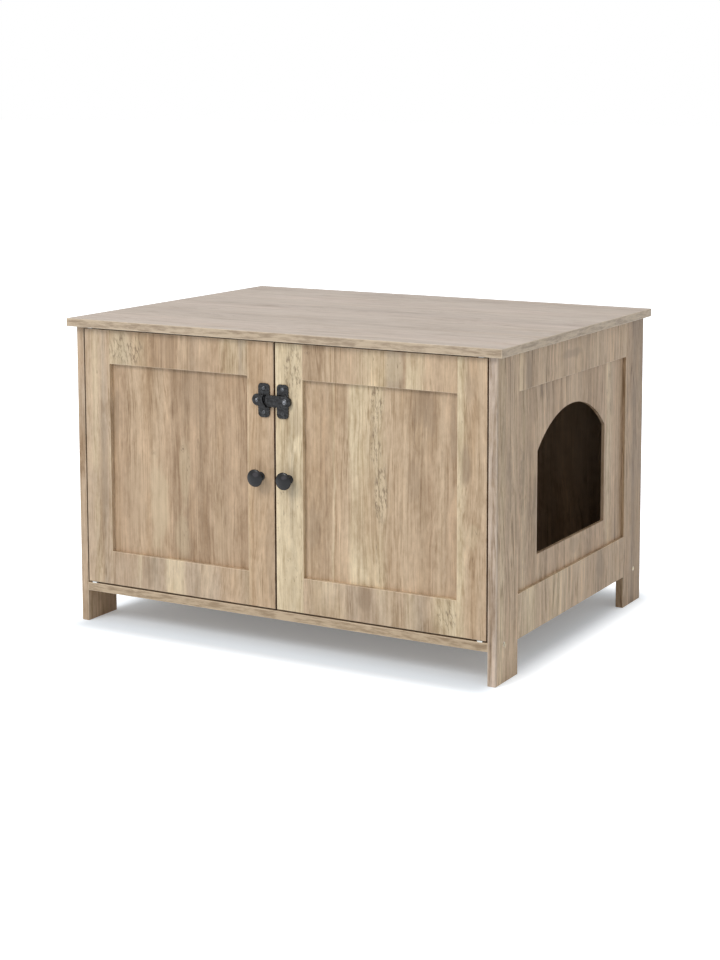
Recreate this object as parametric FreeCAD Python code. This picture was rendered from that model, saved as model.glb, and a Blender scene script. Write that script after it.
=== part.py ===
import FreeCAD
import Part
import math
import os
from FreeCAD import Vector

# Cat litter box cabinet: two framed doors on pivot pins, framed sides that run
# down into plank legs, an arched cat entry in the right side and a flip latch.
# Millimetres. X runs to the right across the front, Y from the doors to the
# back and Z up from the floor. Pieces are drawn with Y = 0 at the door faces
# and are moved to the centre of the footprint when they are written.

# Overall sizes
top_width = 880.0
top_depth = 655.0
overall_height = 565.0
top_thick = 15.0
side_overhang = 14.0
front_overhang = 12.0
back_overhang = 4.0
edge_ease = 0.5

# Side frames: two legs, two rails and a thin panel set in grooves
side_thick = 15.0
leg_width = 85.0
side_top_rail = 68.0
side_bottom_rail = 78.0
rail_clearance = 60.0
side_recess = 6.0
side_panel_thick = 6.0
groove_depth = 8.0
joint_play = 0.1

# Arched cat entry
entry_width = 296.0
entry_sill = 49.0
entry_jamb = 180.0
entry_rise = 62.0

# Bottom board and back panel
board_clearance = 58.0
board_thick = 15.0
back_thick = 5.0
back_inset = 12.0
back_groove = 5.0

# Doors
door_thick = 15.0
door_side_gap = 2.5
door_middle_gap = 3.0
door_end_gap = 3.0
door_stile = 55.0
door_rail = 62.0
door_recess = 8.0
door_panel_thick = 4.0

# Pivot pins on the doors and their bushes in the top and the bottom board
pivot_inset = 12.0
pivot_setback = 7.0
pin_radius = 2.5
pin_reach = 8.5
pin_plug_radius = 4.0
pin_plug_length = 18.0
bush_radius = 4.0
bush_length = 10.0
bush_flange_radius = 4.75
bush_flange = 1.5
running_play = 0.05

# Knobs
knob_from_middle = 29.0
knob_height = 310.0
knob_radius = 15.5
knob_reach = 24.5
knob_foot_radius = 8.0
knob_neck_radius = 5.5
knob_foot_lip = 1.5
knob_waist = 8.8
knob_flare_radius = 8.3
knob_flare = 15.2
knob_rim = 5.0
knob_ease = 1.2
knob_dome = 1.8
knob_crown_radius = 8.5
knob_insert_depth = 12.0

# Flip latch
latch_height = 445.0
plate_width = 23.5
plate_height = 60.0
plate_corner = 8.0
plate_thick = 2.5
plate_screw_spacing = 42.0
catch_from_middle = 20.5
catch_lobe_offset = 14.0
base_from_middle = 17.5
latch_pivot_from_middle = 25.5
bar_half_height = 10.5
bar_reach = 40.8
bar_thick = 4.0
washer_thick = 0.5
washer_radius = 7.0
rivet_radius = 3.0
rivet_head_radius = 5.5
rivet_crown_radius = 3.2
rivet_dome = 2.0
rivet_tail = 4.0
keeper_play = 0.5
keeper_root = 0.5
keeper_ledge = 2.6
keeper_ledge_length = 9.0
bar_dimple_radius = 1.8
bar_dimple_depth = 1.5
bar_dimple_from_tip = 6.5
cast_ease = 0.8

# Fasteners. Turned parts are drawn with flat sides, fewer where they are hidden
knob_sides = 36
shown_sides = 16
hidden_sides = 10
socket_sides = 6
screw_radius = 1.6
screw_head_radius = 3.6
screw_head = 2.0
screw_length = 13.0
knob_screw_radius = 2.0
knob_screw_head_radius = 4.2
knob_screw_head = 2.4
confirmat_from_end = 33.0
confirmat_head_radius = 4.5
confirmat_head = 3.0
confirmat_sink = 0.8
confirmat_thread_radius = 3.2
confirmat_length = 50.0
socket_radius = 2.2
socket_depth = 2.0
cam_radius = 7.4
cam_depth = 11.5
cam_below_top = 34.0
cam_from_end = 30.0
cam_slot = 1.6
cam_slot_half = 5.2
bolt_radius = 2.6
bolt_head_radius = 3.3
bolt_head = 3.0
bolt_thread = 9.5
dowel_radius = 4.0
dowel_length = 30.0
dowel_in_top = 10.0
dowel_from_end = 62.0

# Door stop under the top, behind both doors
stop_width = 60.0
stop_depth = 18.0
stop_height = 14.0
stop_gap = 0.3
stop_screw_spacing = 40.0
stop_screw_length = 20.0

# Places worked out from the sizes above
body_half = top_width / 2 - side_overhang
side_inner = body_half - side_thick
body_depth = top_depth - front_overhang - back_overhang
under_top = overall_height - top_thick
panel_outer = body_half - side_recess
panel_inner = panel_outer - side_panel_thick
top_rail_low = under_top - side_top_rail
bottom_rail_top = rail_clearance + side_bottom_rail
rear_leg_front = body_depth - leg_width
board_top = board_clearance + board_thick
back_front = body_depth - back_inset - back_thick
door_outer = side_inner - door_side_gap
door_inner = door_middle_gap / 2
door_low = board_top + door_end_gap
door_high = under_top - door_end_gap
pivot_x = door_outer - pivot_inset
plate_front = -plate_thick
bar_back = plate_front - washer_thick
bar_front = bar_back - bar_thick
frame_middle = (side_inner + body_half) / 2
front_reach = max(knob_reach, front_overhang)
front_shift = front_reach - (front_reach + body_depth + back_overhang) / 2
inward = Vector(0, 1, 0)
outward = Vector(0, -1, 0)
upward = Vector(0, 0, 1)


def box(x, y, z):
    low = Vector(min(x), min(y), min(z))
    return Part.makeBox(abs(x[1] - x[0]), abs(y[1] - y[0]), abs(z[1] - z[0]), low)


def board(x, y, z):
    # a plank whose twelve edges are eased
    plank = box(x, y, z)
    return plank.makeChamfer(edge_ease, plank.Edges)


def rod(radius, start, end):
    way = end - start
    return Part.makeCylinder(radius, way.Length, start, way)


def polygon(corners):
    return Part.Face(Part.makePolygon(corners + corners[:1]))


def turned(profile, start, way, sides, play=0):
    # a turned part: the profile lists radii and distances from start along way. Its
    # corners lie on those radii, and with some play the flats of its hole clear them
    turn = FreeCAD.Rotation(upward, way)
    rings = []
    for radius, distance in profile:
        reach = radius
        if play:
            reach = (radius + play) / math.cos(math.pi / sides)
        corners = []
        for step in range(sides):
            angle = 2 * math.pi * step / sides
            spoke = Vector(reach * math.cos(angle), reach * math.sin(angle), distance)
            corners.append(start + turn.multVec(spoke))
        rings.append(corners)
    faces = [polygon(rings[0]), polygon(rings[-1])]
    for near, far in zip(rings, rings[1:]):
        for step in range(sides):
            faces.append(polygon([near[step - 1], near[step], far[step], far[step - 1]]))
    return Part.makeSolid(Part.makeShell(faces)).removeSplitter()


def peg(radius, start, end, sides, play=0):
    way = end - start
    return turned([(radius, 0), (radius, way.Length)], start, way, sides, play)


def union(pieces):
    return pieces[0].fuse(pieces[1:]).removeSplitter()


def group(pieces):
    return Part.makeCompound(pieces)


def rounded_plate(x, z, width, height, corner, y):
    # a flat plate in the door's plane, with round corners, centred on x, z
    plate = box((x - width / 2, x + width / 2), y, (z - height / 2, z + height / 2))
    upright = [e for e in plate.Edges if abs(e.tangentAt(e.FirstParameter).y) > 0.9]
    return plate.makeFillet(min(corner, 0.45 * width, 0.45 * height), upright)


def ease_front(solid, y, size):
    # chamfers the outline of the face that looks forward at depth y
    rim = [e for e in solid.Edges if all(abs(v.Y - y) < 1e-6 for v in e.Vertexes)]
    return solid.makeChamfer(size, rim)


def screw(face, way, length, play=0):
    # a countersunk screw driven from its face; with some play, the hole for it
    profile = [
        (screw_head_radius, 0),
        (screw_radius, screw_head),
        (screw_radius, length + play),
    ]
    return turned(profile, face, way, hidden_sides, play)


def arch_cutter():
    # the entry's outline: sill, two jambs and a flat arc over them
    middle = body_depth / 2
    sill = bottom_rail_top + entry_sill
    spring = sill + entry_jamb
    near = middle - entry_width / 2
    far = middle + entry_width / 2
    x = panel_inner - 1
    corners = [Vector(x, near, spring), Vector(x, near, sill)]
    corners += [Vector(x, far, sill), Vector(x, far, spring)]
    crown = Part.Arc(corners[3], Vector(x, middle, spring + entry_rise), corners[0])
    edges = [Part.LineSegment(a, b).toShape() for a, b in zip(corners, corners[1:])]
    outline = Part.Face(Part.Wire(edges + [crown.toShape()]))
    return outline.extrude(Vector(side_panel_thick + 2, 0, 0))


def top_joints():
    # the cams that pull the top down: one in each leg and one in each top rail
    places = [cam_from_end, body_depth / 2, body_depth - cam_from_end]
    return [(side, y) for side in (-1, 1) for y in places]


def dowel_places():
    places = [dowel_from_end, body_depth - dowel_from_end]
    return [(side * frame_middle, y) for side in (-1, 1) for y in places]


def cam_point(side, y, depth):
    return Vector(side * (side_inner + depth), y, under_top - cam_below_top)


def cam_hole(side, y):
    # a round pocket for the cam, and the channel down to it for the bolt
    pocket = peg(
        cam_radius,
        cam_point(side, y, -1),
        cam_point(side, y, cam_depth + joint_play),
        shown_sides,
        joint_play,
    )
    low = cam_point(side, y, side_thick / 2)
    high = Vector(low.x, y, under_top + 1)
    return pocket.fuse(peg(bolt_head_radius, low, high, hidden_sides, joint_play))


def cam(side, y):
    # a disc lock with a channel for the bolt's head and a slot for the screwdriver
    face = cam_point(side, y, joint_play)
    disc = peg(cam_radius, face, cam_point(side, y, cam_depth), shown_sides)
    reach = bolt_head_radius + joint_play
    middle = side * frame_middle
    channel = box(
        (middle - reach, middle + reach),
        (y - reach, y + reach),
        (face.z - bolt_head - joint_play, face.z + cam_radius),
    )
    slot = box(
        (face.x - side, face.x + side * cam_slot),
        (y - cam_slot / 2, y + cam_slot / 2),
        (face.z - cam_slot_half, face.z + cam_slot_half),
    )
    return disc.cut([channel, slot])


def cam_bolt(side, y):
    collar = cam_point(side, y, side_thick / 2)
    profile = [
        (bolt_head_radius, -bolt_head),
        (bolt_head_radius, 0),
        (bolt_radius, 0),
        (bolt_radius, under_top + bolt_thread - collar.z),
    ]
    return turned(profile, collar, upward, hidden_sides)


def dowel(x, y, play=0):
    low = Vector(x, y, under_top + dowel_in_top - dowel_length - play)
    high = Vector(x, y, under_top + dowel_in_top + play)
    return peg(dowel_radius, low, high, hidden_sides, play)


def confirmat_places():
    ends = (confirmat_from_end, body_depth - confirmat_from_end)
    return [(side, y) for side in (-1, 1) for y in ends]


def confirmat(side, y, play=0):
    # a long screw through the leg into the end of the bottom board
    start = Vector(side * body_half, y, board_clearance + board_thick / 2)
    way = Vector(-side, 0, 0)
    mouth = confirmat_sink
    if play:
        mouth = -1
    seat = confirmat_sink + confirmat_head + play
    profile = [
        (confirmat_head_radius, mouth),
        (confirmat_head_radius, seat),
        (confirmat_thread_radius, seat),
        (confirmat_thread_radius, confirmat_length + play),
    ]
    body = turned(profile, start, way, shown_sides, play)
    if play:
        return body
    mouth_end = confirmat_sink + socket_depth
    return body.cut(peg(socket_radius, start + way * mouth, start + way * mouth_end, socket_sides))


def pivot_place(side, z):
    return Vector(side * pivot_x, pivot_setback, z)


def bush(side, seat, way):
    # flange on the board's face and barrel sunk into it; way is +1 upwards
    profile = [
        (bush_flange_radius, -bush_flange),
        (bush_flange_radius, 0),
        (bush_radius, 0),
        (bush_radius, bush_length),
    ]
    body = turned(profile, pivot_place(side, seat), upward * way, shown_sides)
    mouth = pivot_place(side, seat - way * 2 * bush_flange)
    end = pivot_place(side, seat + way * bush_length)
    return body.cut(rod(pin_radius + running_play, mouth, end))


def bush_hole(side, seat, way):
    start = pivot_place(side, seat - way)
    end = pivot_place(side, seat + way * (bush_length + joint_play))
    return peg(bush_radius, start, end, shown_sides, joint_play / 2)


def door_pin(side, seat, door_end, way):
    # plug in the stile's end, collar on the bush's flange and pin in its bore
    collar = abs(seat - door_end) - bush_flange
    profile = [
        (pin_plug_radius, -pin_plug_length),
        (pin_plug_radius, 0),
        (bush_flange_radius, 0),
        (bush_flange_radius, collar),
    ]
    body = turned(profile, pivot_place(side, door_end), upward * way, shown_sides)
    pin_start = pivot_place(side, seat - way * bush_flange)
    pin_end = pivot_place(side, seat + way * pin_reach)
    return union([body, rod(pin_radius, pin_start, pin_end)])


def door_pin_hole(side, door_end, way):
    deep = pivot_place(side, door_end - way * (pin_plug_length + joint_play))
    mouth = pivot_place(side, door_end + way)
    return peg(pin_plug_radius, deep, mouth, shown_sides, joint_play / 2)


def side_frame(side, word):
    x = (side * side_inner, side * body_half)
    panel_x = (side * panel_inner, side * panel_outer)
    groove_x = (side * (panel_inner - joint_play), side * (panel_outer + joint_play))
    tongue_y = (
        leg_width - groove_depth + joint_play,
        rear_leg_front + groove_depth - joint_play,
    )
    groove_z = (rail_clearance, under_top + 1)
    front_leg = board(x, (0, leg_width), (0, under_top))
    front_leg = front_leg.cut(
        box(groove_x, (leg_width - groove_depth, leg_width + 1), groove_z)
    )
    rear_leg = board(x, (rear_leg_front, body_depth), (0, under_top))
    rear_leg = rear_leg.cut(
        [
            box(groove_x, (rear_leg_front - 1, rear_leg_front + groove_depth), groove_z),
            box(
                (side * (side_inner - 1), side * (side_inner + back_groove)),
                (back_front - joint_play, back_front + back_thick + joint_play),
                (board_clearance, under_top + 1),
            ),
        ]
    )

    def rail(low, high, groove):
        plank = board(x, (leg_width, rear_leg_front), (low, high))
        tongue = box(panel_x, tongue_y, (low + edge_ease, high - edge_ease))
        return union([plank, tongue]).cut(box(groove_x, (0, body_depth), groove))

    top_rail = rail(top_rail_low, under_top, (top_rail_low - 1, top_rail_low + groove_depth))
    bottom_rail = rail(
        rail_clearance,
        bottom_rail_top,
        (bottom_rail_top - groove_depth, bottom_rail_top + 1),
    )
    panel_z = (
        bottom_rail_top - groove_depth + joint_play,
        top_rail_low + groove_depth - joint_play,
    )
    panel = box(panel_x, tongue_y, panel_z)
    for cam_side, y in top_joints():
        if cam_side == side:
            hole = cam_hole(side, y)
            front_leg = front_leg.cut(hole)
            rear_leg = rear_leg.cut(hole)
            top_rail = top_rail.cut(hole)
    for place in dowel_places():
        hole = dowel(*place, joint_play / 2)
        front_leg = front_leg.cut(hole)
        rear_leg = rear_leg.cut(hole)
    for screw_side, y in confirmat_places():
        if screw_side == side:
            hole = confirmat(side, y, joint_play / 2)
            front_leg = front_leg.cut(hole)
            rear_leg = rear_leg.cut(hole)
    return {
        word + "_front_leg": front_leg,
        word + "_rear_leg": rear_leg,
        word + "_top_rail": top_rail,
        word + "_bottom_rail": bottom_rail,
        word + "_side_panel": panel,
    }


def carcass():
    pieces = {}
    pieces.update(side_frame(-1, "left"))
    pieces.update(side_frame(1, "right"))
    entry_panel = pieces.pop("right_side_panel")
    pieces["right_entry_panel"] = entry_panel.cut(arch_cutter())

    back_y = (back_front, back_front + back_thick)
    slot_y = (back_front - joint_play, back_front + back_thick + joint_play)
    back_half = side_inner + back_groove
    top = board(
        (-top_width / 2, top_width / 2),
        (-front_overhang, body_depth + back_overhang),
        (under_top, overall_height),
    )
    top = top.cut(box((-back_half, back_half), slot_y, (under_top - 1, under_top + back_groove)))
    base = board((-side_inner, side_inner), (0, body_depth), (board_clearance, board_top))
    base = base.cut(box((-back_half, back_half), slot_y, (board_top - back_groove, board_top + 1)))
    for side, y in top_joints():
        x = side * frame_middle
        start = Vector(x, y, under_top - 1)
        end = Vector(x, y, under_top + bolt_thread + joint_play)
        top = top.cut(peg(bolt_radius, start, end, hidden_sides, joint_play / 2))
    for place in dowel_places():
        top = top.cut(dowel(*place, joint_play / 2))
    for place in confirmat_places():
        base = base.cut(confirmat(*place, joint_play / 2))
    for side in (-1, 1):
        top = top.cut(bush_hole(side, under_top, 1))
        base = base.cut(bush_hole(side, board_top, -1))
    for hole in door_stop_screws(joint_play / 2):
        top = top.cut(hole)
    pieces["top_panel"] = top
    pieces["bottom_board"] = base
    pieces["back_panel"] = box(
        (-back_half + joint_play, back_half - joint_play),
        back_y,
        (board_top - back_groove + joint_play, under_top + back_groove - joint_play),
    )
    pieces["cam_locks"] = group([cam(*place) for place in top_joints()])
    pieces["cam_bolts"] = group([cam_bolt(*place) for place in top_joints()])
    pieces["top_dowels"] = group([dowel(*place) for place in dowel_places()])
    pieces["base_screws"] = group([confirmat(*place) for place in confirmat_places()])
    bushes = [bush(side, under_top, 1) for side in (-1, 1)]
    bushes += [bush(side, board_top, -1) for side in (-1, 1)]
    pieces["pivot_bushes"] = group(bushes)
    return pieces


def door_stop_screws(play=0):
    # two screws up through the stop into the top
    y = door_thick + stop_gap + stop_depth / 2
    low = under_top - stop_height
    half = stop_screw_spacing / 2
    return [screw(Vector(x, y, low), upward, stop_screw_length, play) for x in (-half, half)]


def door_stop():
    y = door_thick + stop_gap
    block = board(
        (-stop_width / 2, stop_width / 2), (y, y + stop_depth), (under_top - stop_height, under_top)
    )
    return {
        "door_stop": block.cut(door_stop_screws(joint_play / 2)),
        "stop_screws": group(door_stop_screws()),
    }


def door(side, word):
    y = (0, door_thick)
    panel_y = (door_recess, door_recess + door_panel_thick)
    groove_y = (panel_y[0] - joint_play, panel_y[1] + joint_play)
    inner_edge = door_inner + door_stile
    outer_edge = door_outer - door_stile
    tongue_x = (
        side * (inner_edge - groove_depth + joint_play),
        side * (outer_edge + groove_depth - joint_play),
    )
    z = (door_low, door_high)
    groove_z = (door_low - 1, door_high + 1)
    inner_groove = (side * (inner_edge - groove_depth), side * (inner_edge + 1))
    outer_groove = (side * (outer_edge + groove_depth), side * (outer_edge - 1))
    inner_stile = board((side * door_inner, side * inner_edge), y, z)
    inner_stile = inner_stile.cut(box(inner_groove, groove_y, groove_z))
    outer_stile = board((side * outer_edge, side * door_outer), y, z)
    outer_stile = outer_stile.cut(box(outer_groove, groove_y, groove_z))
    outer_stile = outer_stile.cut(
        [door_pin_hole(side, door_high, 1), door_pin_hole(side, door_low, -1)]
    )

    def rail(low, high, groove):
        plank = board((side * inner_edge, side * outer_edge), y, (low, high))
        tongue = box(tongue_x, panel_y, (low + edge_ease, high - edge_ease))
        grooved = (side * door_inner, side * door_outer)
        return union([plank, tongue]).cut(box(grooved, groove_y, groove))

    top_low = door_high - door_rail
    bottom_high = door_low + door_rail
    top_rail = rail(top_low, door_high, (top_low - 1, top_low + groove_depth))
    bottom_rail = rail(door_low, bottom_high, (bottom_high - groove_depth, bottom_high + 1))
    panel_z = (bottom_high - groove_depth + joint_play, top_low + groove_depth - joint_play)

    knob_x = side * knob_from_middle
    inner_stile = inner_stile.cut(knob_screw(knob_x, joint_play / 2))
    inner_stile = inner_stile.cut(latch_screws(side, joint_play / 2))
    if side == 1:
        inner_stile = inner_stile.cut(rivet_hole())
    pins = [
        door_pin(side, under_top, door_high, 1),
        door_pin(side, board_top, door_low, -1),
    ]
    return {
        word + "_door_inner_stile": inner_stile,
        word + "_door_outer_stile": outer_stile,
        word + "_door_top_rail": top_rail,
        word + "_door_bottom_rail": bottom_rail,
        word + "_door_panel": box(tongue_x, panel_y, panel_z),
        word + "_door_pivot_pins": group(pins),
        word + "_knob": knob(knob_x),
        word + "_knob_screw": knob_screw(knob_x),
    }


def knob(x):
    # a turned mushroom knob: foot, waisted neck, flared back and a domed face
    rim_front = knob_reach - knob_dome
    rim_back = rim_front - knob_rim
    profile = [
        (knob_foot_radius, 0),
        (knob_foot_radius, knob_foot_lip),
        (knob_neck_radius, knob_waist),
        (knob_flare_radius, knob_flare),
        (knob_radius - knob_ease, rim_back),
        (knob_radius, rim_back + knob_ease),
        (knob_radius, rim_front - knob_ease),
        (knob_radius - knob_ease, rim_front),
        (knob_crown_radius, knob_reach),
    ]
    body = turned(profile, Vector(x, 0, knob_height), outward, knob_sides)
    return body.cut(knob_screw(x, joint_play / 2))


def knob_screw(x, play=0):
    # from inside the door through the stile and into the knob
    shank = door_thick + knob_insert_depth + play
    profile = [
        (knob_screw_radius, 0),
        (knob_screw_radius, shank),
    ]
    if not play:
        head = [(knob_screw_head_radius, -knob_screw_head), (knob_screw_head_radius, 0)]
        profile = head + profile
    return turned(profile, Vector(x, door_thick, knob_height), outward, shown_sides, play)


def latch_screw_places(side):
    half = plate_screw_spacing / 2
    if side == 1:
        return [(base_from_middle, latch_height + half), (base_from_middle, latch_height - half)]
    lobe = (-catch_from_middle - catch_lobe_offset, latch_height)
    return [(-catch_from_middle, latch_height + half), (-catch_from_middle, latch_height - half), lobe]


def latch_screws(side, play=0):
    faces = [Vector(x, plate_front, z) for x, z in latch_screw_places(side)]
    return [screw(face, inward, screw_length, play) for face in faces]


def disc(x, radius, y):
    return rod(radius, Vector(x, y[0], latch_height), Vector(x, y[1], latch_height))


def catch_plate():
    # cross-shaped plate on the left door; its raised keeper cradles the bar's tip
    x = -catch_from_middle
    lobe_x = x - catch_lobe_offset
    body_y = (plate_front, 0)
    half = bar_half_height
    z = (latch_height - half, latch_height + half)
    upright = rounded_plate(x, latch_height, plate_width, plate_height, plate_corner, body_y)
    arm = box((lobe_x, x), body_y, z)
    flat = union([upright, arm, disc(lobe_x, half, body_y)])
    flat = ease_front(flat, plate_front, cast_ease)
    tip_x = latch_pivot_from_middle - bar_reach
    front = bar_front - washer_thick
    keeper_left = lobe_x + screw_head_radius + cast_ease
    depth = (front, plate_front + keeper_root)
    keeper = box((keeper_left, tip_x + half), depth, z)
    ledge_low = latch_height - half - keeper_play - keeper_ledge
    ledge = box(
        (keeper_left, tip_x + keeper_ledge_length), depth, (ledge_low, latch_height - half)
    )
    block = union([keeper, ledge])
    block = ease_front(block, front, cast_ease)
    swing = disc(latch_pivot_from_middle, bar_reach + keeper_play, (front - 1, plate_front))
    below = box(
        (tip_x - half, latch_pivot_from_middle),
        (front - 1, plate_front),
        (ledge_low - 1, latch_height - half - keeper_play),
    )
    solid = union([flat, block.cut(swing.cut(below))])
    return solid.cut(latch_screws(-1, joint_play / 2))


def base_plate():
    # plate on the right door with a round boss behind the bar's pivot
    body_y = (plate_front, 0)
    upright = rounded_plate(
        base_from_middle, latch_height, plate_width, plate_height, plate_corner, body_y
    )
    boss = disc(latch_pivot_from_middle, bar_half_height - 1, body_y)
    solid = ease_front(union([upright, boss]), plate_front, cast_ease)
    return solid.cut(latch_screws(1, joint_play / 2) + [rivet_hole()])


def latch_bar():
    # a flat bar with round ends that swings up about the rivet
    x = latch_pivot_from_middle
    y = (bar_front, bar_back)
    half = bar_half_height
    tip_centre = x - bar_reach + half
    middle = box((tip_centre, x), y, (latch_height - half, latch_height + half))
    solid = union([middle, disc(tip_centre, half, y), disc(x, half, y)])
    solid = ease_front(solid, bar_front, cast_ease)
    dimple_face = Vector(x - bar_reach + bar_dimple_from_tip, bar_front, latch_height)
    dimple_end = dimple_face + inward * bar_dimple_depth
    dimple = peg(bar_dimple_radius, dimple_face, dimple_end, hidden_sides)
    bore = disc(x, rivet_radius + running_play, (bar_front - 1, bar_back + 1))
    return solid.cut([dimple, bore])


def rivet():
    # the bar's pivot: a stem set in the door and a raised head in front of the bar
    x = latch_pivot_from_middle
    stem = disc(x, rivet_radius, (rivet_tail, bar_front))
    profile = [(rivet_head_radius, 0), (rivet_crown_radius, rivet_dome)]
    face = Vector(x, bar_front, latch_height)
    return union([stem, turned(profile, face, outward, shown_sides)])


def rivet_hole():
    # through the plates and into the door
    x = latch_pivot_from_middle
    start = Vector(x, bar_back - 1, latch_height)
    end = Vector(x, rivet_tail + joint_play, latch_height)
    return peg(rivet_radius, start, end, hidden_sides, joint_play / 2)


def latch_washer():
    x = latch_pivot_from_middle
    back = Vector(x, plate_front, latch_height)
    front = Vector(x, bar_back, latch_height)
    return peg(washer_radius, back, front, shown_sides).cut(rivet_hole())


def latch():
    return {
        "latch_catch_plate": catch_plate(),
        "latch_catch_screws": group(latch_screws(-1)),
        "latch_base_plate": base_plate(),
        "latch_base_screws": group(latch_screws(1)),
        "latch_bar": latch_bar(),
        "latch_rivet": rivet(),
        "latch_washer": latch_washer(),
    }


def write(pieces):
    os.makedirs("parts", exist_ok=True)
    for name, shape in pieces.items():
        placed = shape.copy()
        placed.translate(Vector(0, front_shift, 0))
        placed.exportStep(os.path.join("parts", name + ".step"))


cabinet = {}
cabinet.update(carcass())
cabinet.update(door_stop())
cabinet.update(door(-1, "left"))
cabinet.update(door(1, "right"))
cabinet.update(latch())
write(cabinet)
print("pieces", len(cabinet), "front plane y", round(front_shift, 3))
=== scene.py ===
import bmesh
import bpy
import math
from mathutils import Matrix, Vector


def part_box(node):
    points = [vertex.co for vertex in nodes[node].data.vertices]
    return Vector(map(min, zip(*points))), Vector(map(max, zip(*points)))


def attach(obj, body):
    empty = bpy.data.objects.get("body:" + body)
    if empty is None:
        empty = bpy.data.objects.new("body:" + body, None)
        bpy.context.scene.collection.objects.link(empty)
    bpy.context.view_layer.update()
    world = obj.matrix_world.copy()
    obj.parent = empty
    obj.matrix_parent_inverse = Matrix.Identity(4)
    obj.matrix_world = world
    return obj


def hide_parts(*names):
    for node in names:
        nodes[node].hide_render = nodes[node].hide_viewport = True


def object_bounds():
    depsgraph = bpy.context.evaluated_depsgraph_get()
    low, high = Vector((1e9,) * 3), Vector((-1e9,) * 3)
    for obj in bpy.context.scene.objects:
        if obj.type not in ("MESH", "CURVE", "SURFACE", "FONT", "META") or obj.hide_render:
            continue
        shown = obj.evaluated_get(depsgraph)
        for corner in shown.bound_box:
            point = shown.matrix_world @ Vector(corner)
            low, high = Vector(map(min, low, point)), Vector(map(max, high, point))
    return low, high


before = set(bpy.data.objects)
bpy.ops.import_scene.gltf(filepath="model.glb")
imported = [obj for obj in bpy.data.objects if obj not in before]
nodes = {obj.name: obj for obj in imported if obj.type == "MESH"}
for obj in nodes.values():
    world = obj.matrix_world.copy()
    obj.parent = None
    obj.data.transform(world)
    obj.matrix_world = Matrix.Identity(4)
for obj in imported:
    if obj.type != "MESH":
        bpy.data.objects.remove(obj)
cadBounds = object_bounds()
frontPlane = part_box("left_door_inner_stile")[0].y
outward = (0, -1, 0)


def tone(red, green, blue):
    # a screen colour, 0 to 255, as the linear colour that shaders take
    def channel(value):
        value /= 255
        if value <= 0.04045:
            return value / 12.92
        return ((value + 0.055) / 1.055) ** 2.4

    return (channel(red), channel(green), channel(blue), 1.0)


def spot(x, y, z):
    # a place in millimetres, with y counted back from the door faces
    return (x / 1000, frontPlane + y / 1000, z / 1000)


def reachOf(*sizes):
    return tuple(size / 1000 for size in sizes)


# the node tree that the next functions add to
drawing = {}


def feed(socket, value):
    if isinstance(value, bpy.types.NodeSocket):
        drawing["tree"].links.new(value, socket)
    else:
        socket.default_value = value


def addNode(kind, inputs=None, **settings):
    made = drawing["tree"].nodes.new(kind)
    for key, value in settings.items():
        setattr(made, key, value)
    for key, value in (inputs or {}).items():
        feed(made.inputs[key], value)
    return made


def calc(operation, *values, clamp=False):
    made = addNode("ShaderNodeMath", operation=operation, use_clamp=clamp)
    for index, value in enumerate(values):
        feed(made.inputs[index], value)
    return made.outputs[0]


def plus(first, second):
    return calc("ADD", first, second)


def minus(first, second):
    return calc("SUBTRACT", first, second)


def times(first, second, clamp=False):
    return calc("MULTIPLY", first, second, clamp=clamp)


def vectorCalc(operation, *values, result="Vector"):
    made = addNode("ShaderNodeVectorMath", operation=operation)
    for index, value in enumerate(values):
        socket = made.inputs["Scale"] if operation == "SCALE" and index == 1 else made.inputs[index]
        feed(socket, value)
    return made.outputs[result]


def splitVector(vector):
    return addNode("ShaderNodeSeparateXYZ", {"Vector": vector}).outputs


def objectPlace():
    return addNode("ShaderNodeTexCoord").outputs["Object"]


def noise(vector, across, along, detail=2, roughness=0.5, distortion=0):
    # across and along the grain, which runs up z, in cycles per metre
    scaled = vectorCalc("MULTIPLY", vector, (across, across, along))
    return addNode("ShaderNodeTexNoise", {
        "Vector": scaled, "Scale": 1, "Detail": detail, "Roughness": roughness, "Distortion": distortion,
    }).outputs["Fac"]


def remap(value, low, high, toLow=0.0, toHigh=1.0):
    return addNode("ShaderNodeMapRange", {
        "Value": value, "From Min": low, "From Max": high, "To Min": toLow, "To Max": toHigh,
    }, interpolation_type="SMOOTHSTEP").outputs["Result"]


def mixColour(factor, under, over, blend="MIX"):
    made = addNode("ShaderNodeMix", data_type="RGBA", blend_type=blend)
    for index, value in ((0, factor), (6, under), (7, over)):
        feed(made.inputs[index], value)
    return made.outputs[2]


def newGroup(name, inputs, outputs):
    # inputs and outputs give each socket's name and kind
    group = drawing["tree"] = bpy.data.node_groups.new(name, "ShaderNodeTree")
    for way, sockets in (("INPUT", inputs), ("OUTPUT", outputs)):
        for label, kind in sockets.items():
            group.interface.new_socket(name=label, in_out=way, socket_type="NodeSocket" + kind)
    given = group.nodes.new("NodeGroupInput")
    result = group.nodes.new("NodeGroupOutput")
    return group, given.outputs, result.inputs


def placeGroup(group, values):
    return addNode("ShaderNodeGroup", values, node_tree=group).outputs


def markDistance(given, fray, raggedness):
    # how far a point lies from a mark's centre, in shares of its reach, with a ragged outline
    local = vectorCalc("SUBTRACT", given["Vector"], given["Centre"])
    share = vectorCalc("LENGTH", vectorCalc("DIVIDE", local, given["Reach"]), result="Value")
    ragged = minus(noise(given["Vector"], *fray), 0.5)
    return local, plus(share, times(ragged, raggedness))


boxInputs = {"Vector": "Vector", "Low": "Vector", "High": "Vector", "Width": "Float"}


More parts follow.
